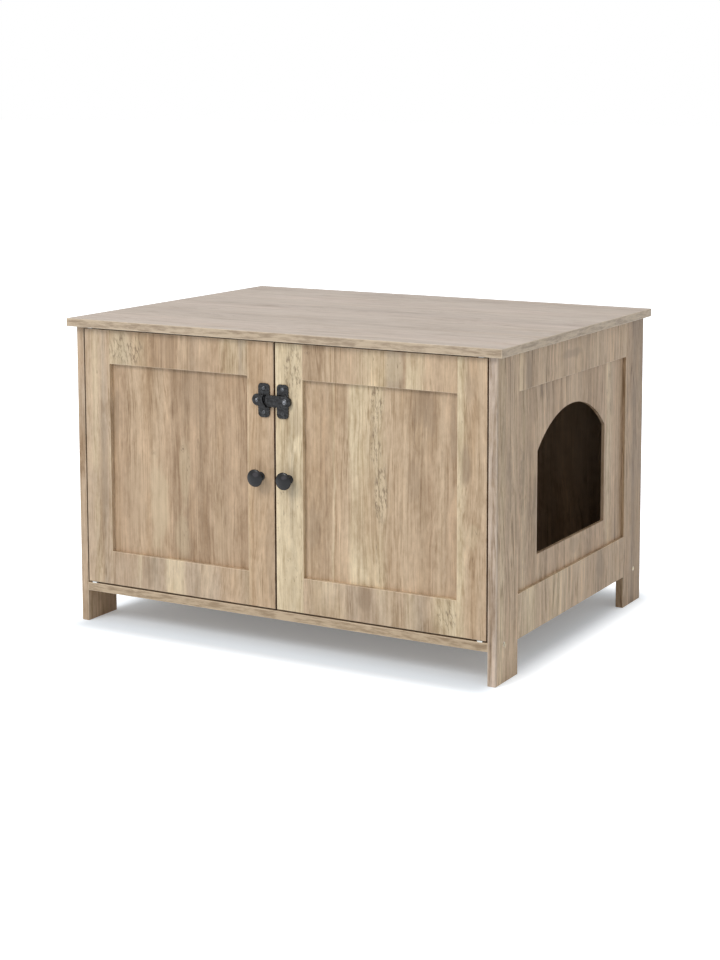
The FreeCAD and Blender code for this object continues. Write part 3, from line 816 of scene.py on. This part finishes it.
def castMaterial(name, look):
    # painted iron: the hammered skin, with its own tone, dents and gloss
    material, shader, place = newMaterial(name)
    skin = placeGroup(castSkin, {
        "Vector": place, "Base": look["tone"], "Dent": look["dent"], "Gloss": look["gloss"]})
    colour = skin["Color"]
    for centre, reach, strength, worn in look.get("rubbed", []):
        # painted glints on screw crowns, in bare steel's tone, and a painted shadow in a socket
        crown = placeMark(knotMark, place, centre, reach)["Mask"]
        colour = tint(colour, crown, strength, worn)
    for centre, reach, strength in look.get("paintedSheen", []):
        # painted sheen: a soft lighter patch on each knob's face
        patch = placeMark(sawMarks, place, centre, reach)["Patch"]
        colour = tint(colour, patch, strength, paintedSheenTone)
    setShader(shader, {
        "Base Color": colour, "Roughness": skin["Roughness"], "Specular IOR Level": look["shine"],
    }, skin["Height"], look["bump"], 0.7)
    return material


def zincMaterial():
    # plated steel with a faint spangle and a few dull spots
    material, shader, place = newMaterial("zincPlate")
    cells = addNode("ShaderNodeTexVoronoi", {
        "Vector": vectorCalc("MULTIPLY", place, (700, 700, 700)), "Scale": 1})
    spangle = splitVector(cells.outputs["Color"])["X"]
    cloud = noise(place, 240, 240, 3, 0.6)
    shade = plus(times(spangle, 0.35), times(cloud, 0.65))
    setShader(shader, {
        "Base Color": mixColour(shade, tone(150, 152, 156), tone(206, 208, 210)),
        "Metallic": 1.0,
        "Roughness": remap(cloud, 0.3, 0.7, 0.28, 0.5),
    }, cloud, 0.00005)
    return material


def nylonMaterial():
    # injection-moulded white nylon, faintly mottled, with a little grime where it is handled
    material, shader, place = newMaterial("whiteNylon")
    cloud = noise(place, 320, 320, 3, 0.55)
    grime = remap(noise(place, 120, 60, 3, 0.6), 0.5, 0.8, 0.0, 0.35)
    base = mixColour(cloud, tone(226, 225, 220), tone(240, 240, 237))
    setShader(shader, {
        "Base Color": mixColour(grime, base, tone(196, 190, 178)),
        "Roughness": remap(cloud, 0.3, 0.7, 0.32, 0.46),
    }, cloud, 0.00004)
    return material


def beechMaterial():
    # fluted beech dowels: pinkish, even, with short dark flecks along the grain
    material, shader, place = newMaterial("beechDowel")
    grain = placeGroup(oakGrain, {
        "Vector": place, "Base": tone(214, 180, 140), "Mean": tone(210, 176, 136), "Lines": 0.08,
        "Fibre": 0.12, "Figure": 0.03, "Pores": 0.5, "Cloud": 0.06, "Greying": 0.0, "Fade": 1.0})
    setShader(shader, {
        "Base Color": grain["Color"], "Roughness": grain["Roughness"]}, grain["Height"], 0.0003)
    return material


fittings = {name: castMaterial(name, look) for name, look in castLooks.items()}
fittings["zinc"] = zincMaterial()
fittings["nylon"] = nylonMaterial()
fittings["beech"] = beechMaterial()
for node, finish in (
    ("cam_bolts", "zinc"), ("cam_locks", "zinc"), ("top_dowels", "beech"), ("base_screws", "bronzeScrew"),
    ("stop_screws", "blackScrew"), ("left_knob_screw", "zinc"), ("right_knob_screw", "zinc"),
    ("latch_washer", "zinc"),
):
    dress(node, fittings[finish])
print("fittings dressed")


def clearSelection():
    bpy.ops.object.select_all(action="DESELECT")


def choose(piece):
    clearSelection()
    piece.select_set(True)
    bpy.context.view_layer.objects.active = piece


def settle(piece):
    # the piece's place goes into its mesh
    choose(piece)
    bpy.ops.object.transform_apply(location=True, rotation=True, scale=True)
    return piece


def pick(piece, kind, wanted):
    # selects the edges or faces that the test wants
    bpy.ops.mesh.select_mode(type=kind)
    bpy.ops.mesh.select_all(action="DESELECT")
    mesh = bmesh.from_edit_mesh(piece.data)
    for part in mesh.edges if kind == "EDGE" else mesh.faces:
        part.select_set(wanted(part))
    bmesh.update_edit_mesh(piece.data)


def runsBack(edge):
    return abs(edge.verts[0].co.y - edge.verts[1].co.y) > 0.0001


def facesBack(face):
    return face.normal.y > 0.9


def turnPiece(name, rings, place, way, sides=48):
    # a turned part drawn ring by ring: radii and distances along way from its place, in mm
    clearSelection()
    way = Vector(way)
    radius, distance = rings[0]
    centre = Vector(place) + way * distance / 1000
    facing = way.to_track_quat("Z", "Y").to_euler()
    bpy.ops.mesh.primitive_circle_add(
        vertices=sides, radius=radius / 1000, fill_type="NGON", location=centre, rotation=facing)
    piece = settle(bpy.context.active_object)
    piece.name = name
    bpy.ops.object.mode_set(mode="EDIT")
    bpy.ops.mesh.select_mode(type="FACE")
    bpy.ops.mesh.select_all(action="SELECT")
    for nextRadius, nextDistance in rings[1:]:
        step = way * (nextDistance - distance) / 1000
        bpy.ops.mesh.extrude_region_move(TRANSFORM_OT_translate={"value": step})
        centre = centre + step
        grow = nextRadius / radius
        bpy.ops.transform.resize(value=(grow, grow, grow), center_override=centre)
        radius, distance = nextRadius, nextDistance
    bpy.ops.mesh.select_all(action="SELECT")
    bpy.ops.mesh.normals_make_consistent(inside=False)
    bpy.ops.object.mode_set(mode="OBJECT")
    return piece


def boxPiece(name, middle, size):
    clearSelection()
    bpy.ops.mesh.primitive_cube_add(size=1, location=middle, scale=size)
    piece = settle(bpy.context.active_object)
    piece.name = name
    return piece


def slabPiece(name, low, high, corner, steps=10):
    # a plate lying in the doors' plane, with its corners rounded
    piece = boxPiece(name, (low + high) / 2, high - low)
    bpy.ops.object.mode_set(mode="EDIT")
    pick(piece, "EDGE", runsBack)
    bpy.ops.mesh.bevel(offset=corner / 1000, segments=steps, affect="EDGES")
    bpy.ops.object.mode_set(mode="OBJECT")
    return piece


def joinPieces(name, pieces):
    clearSelection()
    for piece in pieces:
        piece.select_set(True)
    bpy.context.view_layer.objects.active = pieces[0]
    bpy.ops.object.join()
    made = bpy.context.active_object
    made.name = name
    return made


def applyModifier(piece, kind, **settings):
    choose(piece)
    made = piece.modifiers.new(kind.lower(), kind)
    for key, value in settings.items():
        setattr(made, key, value)
    bpy.ops.object.modifier_apply(modifier=made.name)


def cutAway(piece, cutters):
    # takes each cutter's shape out of the piece, then drops the cutters
    for cutter in cutters:
        applyModifier(piece, "BOOLEAN", operation="DIFFERENCE", solver="EXACT", object=cutter)
        bpy.data.objects.remove(cutter, do_unlink=True)


def copyPiece(piece, shift):
    choose(piece)
    bpy.ops.object.duplicate()
    bpy.ops.transform.translate(value=shift)
    return settle(bpy.context.active_object)


def smoothTurned(piece, angle=40):
    choose(piece)
    bpy.ops.object.shade_smooth_by_angle(angle=math.radians(angle))
    return piece


def castFinish(piece, look):
    # melts joined parts into one casting with soft corners and shallow hammer marks
    applyModifier(piece, "REMESH", mode="VOXEL", voxel_size=look["voxel"] / 1000)
    applyModifier(piece, "SMOOTH", factor=0.5, iterations=look["softness"])
    marks = bpy.data.textures.new(piece.name + "Hammer", "CLOUDS")
    marks.noise_scale = look["markSize"] / 1000
    marks.noise_depth = 1
    applyModifier(piece, "DISPLACE", texture=marks, texture_coords="LOCAL", mid_level=0.85,
                  strength=look["markDepth"] / 1000)
    bpy.data.textures.remove(marks)
    bpy.ops.object.shade_smooth()
    return piece


def hangPiece(piece, body, node, material):
    # the last steps for every new piece: material, the body it rides on and the node it stands for
    piece.data.materials.clear()
    piece.data.materials.append(material)
    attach(piece, body)
    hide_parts(node)


# rings of a cabinet knob, from the door out: radius and distance in millimetres
knobShape = {
    "sides": 64,
    "rings": [
        (7.4, 0.0), (8.0, 0.4), (8.1, 1.0), (7.9, 1.6), (7.1, 2.2), (6.3, 3.0), (5.8, 4.2), (5.6, 6.0),
        (5.6, 8.4), (6.0, 10.6), (6.9, 12.8), (8.3, 14.8), (10.4, 16.4), (12.8, 17.5), (14.3, 18.1),
        (15.0, 18.6), (15.4, 19.1), (15.5, 19.8), (15.35, 20.4), (14.9, 20.95), (14.0, 21.5),
        (12.4, 22.2), (10.2, 22.95), (7.6, 23.65), (4.9, 24.15), (2.2, 24.43), (0.5, 24.5),
    ],
}


def buildKnobs():
    for side in ("left", "right"):
        low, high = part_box(side + "_knob")
        place = ((low.x + high.x) / 2, frontPlane, (low.z + high.z) / 2)
        knob = turnPiece(side + "KnobTurned", knobShape["rings"], place, outward, knobShape["sides"])
        hangPiece(smoothTurned(knob), side + "_door", side + "_knob", fittings["satinBlack"])
    print("knobs turned")


buildKnobs()

# the flip latch, in millimetres from the middle of the doors at the bar's height
latchHeight = sum(corner.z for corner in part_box("latch_bar")) / 2
latch = {
    "voxel": 0.42,
    "softness": 7,
    "markSize": 5.5,
    "markDepth": 0.45,
    "plateHalfWidth": 11.75,
    "plateHalfHeight": 30.0,
    "plateCorner": 7.0,
    "plateThick": 2.5,
    "catchX": -20.5,
    "lobeX": -34.5,
    "armEnd": -14.5,
    "baseX": 17.5,
    "pivotX": 25.5,
    "barHalf": 10.5,
    "barTip": -15.3,
    "barBack": 3.0,
    "barFront": 7.0,
    "humpEnd": -7.0,
    "humpCorner": 1.6,
    "keeperBack": 1.0,
    "keeperFront": 7.5,
    "keeperLeft": -30.1,
    "mouthX": -7.4,
    "mouthRise": 2.2,
    "mouthRadius": 13.4,
    "mouthFloor": 0.6,
    "swingRadius": 41.4,
    "ledge": (-13.6, -11.2),
    "ledgeEnd": -6.3,
    "ledgeFront": 6.9,
    "ledgeCorner": 0.8,
    "dimpleX": -8.8,
    "dimple": [(0.6, -1.6), (1.5, -1.2), (2.3, 0.0), (2.3, 2.0)],
    "screwSpacing": 42.0,
    # corners that would meet in a half circle stop just short of it
    "roundGap": 0.05,
    # how far the round cutters run, and the guard that keeps one of them off the plate
    "cutBack": -9.0,
    "cutFront": 12.0,
    "guard": ((-60.0, 80.0), (-20.0, 2.3), (-60.0, 60.0), 0.1),
}
screwShape = {
    # the shank out to the head's rim, then the dome as shares of its height
    "shank": [(0.3, -10.5), (0.9, -9.6), (1.6, -7.5), (1.6, 0.5), (3.5, 2.4), (3.7, 2.6)],
    "dome": [(3.6, 0.307), (3.2, 0.57), (2.5, 0.789), (1.6, 0.93), (0.8, 0.982), (0.3, 1.0)],
    "catchDome": 1.14,
    "baseDome": 0.22,  # low, because the bar swings over these heads
    "crossReach": 1.9,
    "crossWidth": 0.75,
    "crossDepth": 1.5,
    "crossTaper": 0.55,
}
rivetShape = {
    "rings": [
        (3.0, -4.0), (3.0, 7.0), (5.4, 7.0), (5.5, 7.2), (5.2, 7.65), (4.6, 8.1), (3.8, 8.5), (2.8, 8.8),
        (1.6, 8.96), (0.5, 9.0),
    ],
}


def latchPoint(x, forward, rise=0.0):
    # forward is counted from the door faces towards the viewer
    return Vector((x / 1000, frontPlane - forward / 1000, latchHeight + rise / 1000))


def latchSlab(name, x, forward, rise, corner):
    low = latchPoint(x[0], forward[1], rise[0])
    high = latchPoint(x[1], forward[0], rise[1])
    return slabPiece(name, low, high, corner)


def latchTurned(name, rings, x, forward=0.0, rise=0.0, sides=48):
    return turnPiece(name, rings, latchPoint(x, forward, rise), outward, sides)


def buildScrew(domeHeight):
    # a domed screw with a cross recess
    rim = screwShape["shank"][-1][1]
    dome = [(radius, rim + share * domeHeight) for radius, share in screwShape["dome"]]
    screw = latchTurned("latchScrewMaster", screwShape["shank"] + dome, 0.0, sides=32)
    length = screwShape["crossReach"] * 2 / 1000
    width = screwShape["crossWidth"] / 1000
    depth = screwShape["crossDepth"] / 1000
    taper = screwShape["crossTaper"]
    centre = latchPoint(0.0, 0.0) + Vector(outward) * ((rim + domeHeight) / 1000)
    cutters = []
    for size in ((length, depth * 2, width), (width, depth * 2, length)):
        blade = boxPiece("screwBlade", centre, size)
        bpy.ops.object.mode_set(mode="EDIT")
        # the blade narrows towards the recess's floor
        pick(blade, "FACE", facesBack)
        bpy.ops.transform.resize(value=(taper, 1, taper), center_override=centre + Vector((0, depth, 0)))
        bpy.ops.object.mode_set(mode="OBJECT")
        cutters.append(blade)
    cutAway(screw, cutters)
    return smoothTurned(screw, 35)


def buildCatch(halfW, halfH, half, plate):
    left, middle = latch["keeperLeft"], latch["catchX"]
    hump = latchSlab("keeperHump", (left, latch["humpEnd"]), (latch["keeperBack"], latch["keeperFront"]),
                     (-half, half), latch["humpCorner"])
    # the keeper is hollowed where the bar rests and where its tip swings
    swingRadius, mouthRadius, cutFront = latch["swingRadius"], latch["mouthRadius"], latch["cutFront"]
    swing = latchTurned("swingCutter", [(swingRadius, latch["cutBack"]), (swingRadius, cutFront)],
                        latch["pivotX"], sides=160)
    mouth = latchTurned("mouthCutter", [(mouthRadius, latch["mouthFloor"]), (mouthRadius, cutFront)],
                        latch["mouthX"], rise=latch["mouthRise"], sides=96)
    guard = latchSlab("swingGuard", *latch["guard"])
    cutAway(hump, [mouth])
    cutAway(swing, [guard])
    cutAway(hump, [swing])
    upright = latchSlab("catchUpright", (middle - halfW, middle + halfW), plate, (-halfH, halfH),
                        latch["plateCorner"])
    arm = latchSlab("catchArm", (latch["lobeX"] - half, latch["armEnd"]), plate, (-half, half),
                    half - latch["roundGap"])
    ledge = latchSlab("keeperLedge", (left, latch["ledgeEnd"]), (latch["keeperBack"], latch["ledgeFront"]),
                      latch["ledge"], latch["ledgeCorner"])
    return castFinish(joinPieces("latchCatchPlate", [upright, arm, hump, ledge]), latch)


def buildBase(halfW, halfH, half, plate):
    middle, pivot, reach = latch["baseX"], latch["pivotX"], half - 1
    upright = latchSlab("baseUpright", (middle - halfW, middle + halfW), plate, (-halfH, halfH),
                        latch["plateCorner"])
    boss = latchSlab("baseBoss", (pivot - reach, pivot + reach), plate, (-reach, reach),
                     reach - latch["roundGap"])
    return castFinish(joinPieces("latchBasePlate", [upright, boss]), latch)


def buildBar(half):
    bar = latchSlab("latchSwingBar", (latch["barTip"], latch["pivotX"] + half),
                    (latch["barBack"], latch["barFront"]), (-half, half), half - latch["roundGap"])
    dimple = latchTurned("dimpleCutter", latch["dimple"], latch["dimpleX"], latch["barFront"], sides=24)
    cutAway(bar, [dimple])
    return castFinish(bar, latch)


def buildLatch():
    half = latch["barHalf"]
    plateSizes = (latch["plateHalfWidth"], latch["plateHalfHeight"], half, (0.0, latch["plateThick"]))
    iron, steel = fittings["blackIron"], fittings["blackScrew"]
    hangPiece(buildCatch(*plateSizes), "left_door", "latch_catch_plate", iron)
    hangPiece(buildBase(*plateSizes), "right_door", "latch_base_plate", iron)
    hangPiece(buildBar(half), "latch_bar", "latch_bar", iron)
    rivet = smoothTurned(latchTurned("latchRivetTurned", rivetShape["rings"], latch["pivotX"]))
    hangPiece(rivet, "right_door", "latch_rivet", steel)
    catchX, baseX, spacing = latch["catchX"], latch["baseX"], latch["screwSpacing"] / 2
    for name, body, node, dome, places in (
        ("latchCatchScrewSet", "left_door", "latch_catch_screws", "catchDome",
         [(catchX, spacing), (catchX, -spacing), (latch["lobeX"], 0.0)]),
        ("latchBaseScrewSet", "right_door", "latch_base_screws", "baseDome",
         [(baseX, spacing), (baseX, -spacing)]),
    ):
        master = buildScrew(screwShape[dome])
        screws = [copyPiece(master, (x / 1000, 0, rise / 1000)) for x, rise in places]
        hangPiece(joinPieces(name, screws), body, node, steel)
        bpy.data.objects.remove(master, do_unlink=True)
    print("latch cast and fitted")


buildLatch()

# pivot hardware, in millimetres: flanged bushes in the boards, pins plugged into the stiles
bushShape = {
    "flange": 4.75,
    # the lip and the tongue that joins it: half width, thickness, start and end behind the doors' faces
    "lips": [(4.6, 2.6, 0.2, 2.6), (4.3, 1.3, 1.0, 4.4)],
    "lipCorner": 0.5,
    "rings": [
        (4.0, 10.0), (4.0, 0.0), (4.4, 0.0), (4.75, -0.3), (4.75, -1.1), (4.4, -1.5), (3.0, -1.5),
        (2.6, -1.2), (2.55, -0.6), (2.55, 9.8),
    ],
}
pinShape = {
    # radius and length, then how much the chamfer takes off each
    "plug": (4.0, 18.0, 0.4, 0.6),
    "collar": (4.75, 1.5, 0.2, 0.25),
    "pin": (2.5, 8.5, 0.6, 0.5),
    "runningGap": 0.05,
}


def pinRings(gap):
    # from the plug's end in the stile, over the collar, to the pin's tip past the gap
    plug, plugLength, plugIn, plugBack = pinShape["plug"]
    collar, flange, collarIn, collarBack = pinShape["collar"]
    pin, pinLength, pinIn, pinBack = pinShape["pin"]
    collarEnd = gap - flange - pinShape["runningGap"]
    tip = gap + pinLength
    return [
        (plug - plugIn, -plugLength), (plug, plugBack - plugLength), (plug, 0.0), (collar - collarIn, 0.0),
        (collar, collarBack), (collar, collarEnd - collarBack), (collar - collarIn, collarEnd),
        (pin, collarEnd), (pin, tip - pinBack), (pin - pinIn, tip),
    ]


def buildPivots():
    low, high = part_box("pivot_bushes")
    pivotX = high.x - bushShape["flange"] / 1000
    pivotY = (low.y + high.y) / 2
    seats = ((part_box("bottom_board")[1].z, (0, 0, -1)), (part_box("top_panel")[0].z, (0, 0, 1)))
    bushes = []
    for sign in (-1, 1):
        for seat, way in seats:
            bushes.append(turnPiece("bush", bushShape["rings"], (sign * pivotX, pivotY, seat), way, 40))
            # a lip reaches forward under the door's corner
            for halfLip, thick, start, end in bushShape["lips"]:
                near = seat - way[2] * thick / 1000
                lipLow = (sign * pivotX - halfLip / 1000, frontPlane + start / 1000, min(seat, near))
                lipHigh = (sign * pivotX + halfLip / 1000, frontPlane + end / 1000, max(seat, near))
                bushes.append(slabPiece(
                    "bushLip", Vector(lipLow), Vector(lipHigh), bushShape["lipCorner"], 3))
    bushes = smoothTurned(joinPieces("pivotBushSet", bushes))
    hangPiece(bushes, "cabinet", "pivot_bushes", fittings["nylon"])
    for sign, word in ((-1, "left"), (1, "right")):
        doorLow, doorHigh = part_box(word + "_door_outer_stile")
        pins = []
        for seat, way in seats:
            end = doorLow.z if way[2] < 0 else doorHigh.z
            rings = pinRings(abs(seat - end) * 1000)
            pins.append(turnPiece("pin", rings, (sign * pivotX, pivotY, end), way, 40))
        pins = smoothTurned(joinPieces(word + "PivotPinSet", pins))
        hangPiece(pins, word + "_door", word + "_door_pivot_pins", fittings["nylon"])
    print("pivot pins and bushes turned")


buildPivots()

studio = {
    "floorSize": 90.0,
    "floorTone": tone(225, 233, 241),
    "nearGlow": 0.185,
    "farGlow": 1.0,
    "glowReach": 0.1,
    "glowInset": (0.044, 0.012, 0.0),
    "roomLight": 0.7,
    "keyPlace": (-1.1, -3.2, 3.0),
    "keySize": 1.6,
    "keyPower": 70.0,
    "aim": (0.0, 0.0, 0.3),
}
camera = {
    "place": (1.746415, -3.048125, 0.978370),
    "azimuth": 28.70,
    "elevation": 6.91,
    "lens": 71.325,
    "sensor": 36.0,
    "shiftX": -0.041667,
    "shiftY": -0.166667,
    "clip": (0.05, 60.0),
}


def seenRays():
    # 1 for what the camera sees, straight or by way of gloss and glass
    rays = addNode("ShaderNodeLightPath").outputs
    seen = calc("MAXIMUM", rays["Is Camera Ray"], rays["Is Glossy Ray"])
    return calc("MAXIMUM", seen, rays["Is Transmission Ray"])


def linkObject(name, data, place, turn):
    made = bpy.data.objects.new(name, data)
    bpy.context.scene.collection.objects.link(made)
    made.location = place
    made.rotation_euler = turn
    return made


def buildStage():
    clearSelection()
    bpy.ops.mesh.primitive_plane_add(size=studio["floorSize"], location=(0, 0, 0))
    floor = bpy.context.active_object
    floor.name = "studioFloor"
    material = bpy.data.materials.new("studioFloor")
    drawIn(material)
    # the floor brightens to white a hand's breadth away from the cabinet's footprint
    edge = cadBounds[1] - Vector(studio["glowInset"])
    away = vectorCalc("SUBTRACT", vectorCalc("ABSOLUTE", objectPlace()), edge)
    away = vectorCalc("LENGTH", vectorCalc("MAXIMUM", away, (0, 0, 0)), result="Value")
    level = remap(away, 0.0, studio["glowReach"], studio["nearGlow"], studio["farGlow"])
    matte = addNode("ShaderNodeBsdfDiffuse", {"Color": studio["floorTone"]})
    glow = addNode("ShaderNodeEmission", {"Strength": times(seenRays(), level)})
    both = addNode("ShaderNodeAddShader", {0: matte.outputs[0], 1: glow.outputs[0]})
    addNode("ShaderNodeOutputMaterial", {"Surface": both.outputs[0]})
    floor.data.materials.append(material)


def buildLight():
    world = bpy.data.worlds.new("studioRoom")
    bpy.context.scene.world = world
    drawIn(world)
    strength = remap(seenRays(), 0.0, 1.0, studio["roomLight"], 1.0)
    light = addNode("ShaderNodeBackground", {"Color": (1, 1, 1, 1), "Strength": strength})
    addNode("ShaderNodeOutputWorld", {"Surface": light.outputs[0]})
    key = bpy.data.lights.new("keyLight", "AREA")
    key.shape = "SQUARE"
    key.size = studio["keySize"]
    key.energy = studio["keyPower"]
    way = Vector(studio["aim"]) - Vector(studio["keyPlace"])
    linkObject("keyLight", key, studio["keyPlace"], way.to_track_quat("-Z", "Y").to_euler())


def buildCamera():
    data = bpy.data.cameras.new("photoCamera")
    data.lens = camera["lens"]
    data.sensor_width = camera["sensor"]
    data.sensor_fit = "AUTO"
    data.shift_x, data.shift_y = camera["shiftX"], camera["shiftY"]
    data.clip_start, data.clip_end = camera["clip"]
    turn = (math.pi / 2 - math.radians(camera["elevation"]), 0, math.radians(camera["azimuth"]))
    bpy.context.scene.camera = linkObject("photoCamera", data, camera["place"], turn)


buildStage()
buildLight()
buildCamera()
bpy.context.scene.view_settings.view_transform = "Standard"
print("stage, light and camera set")
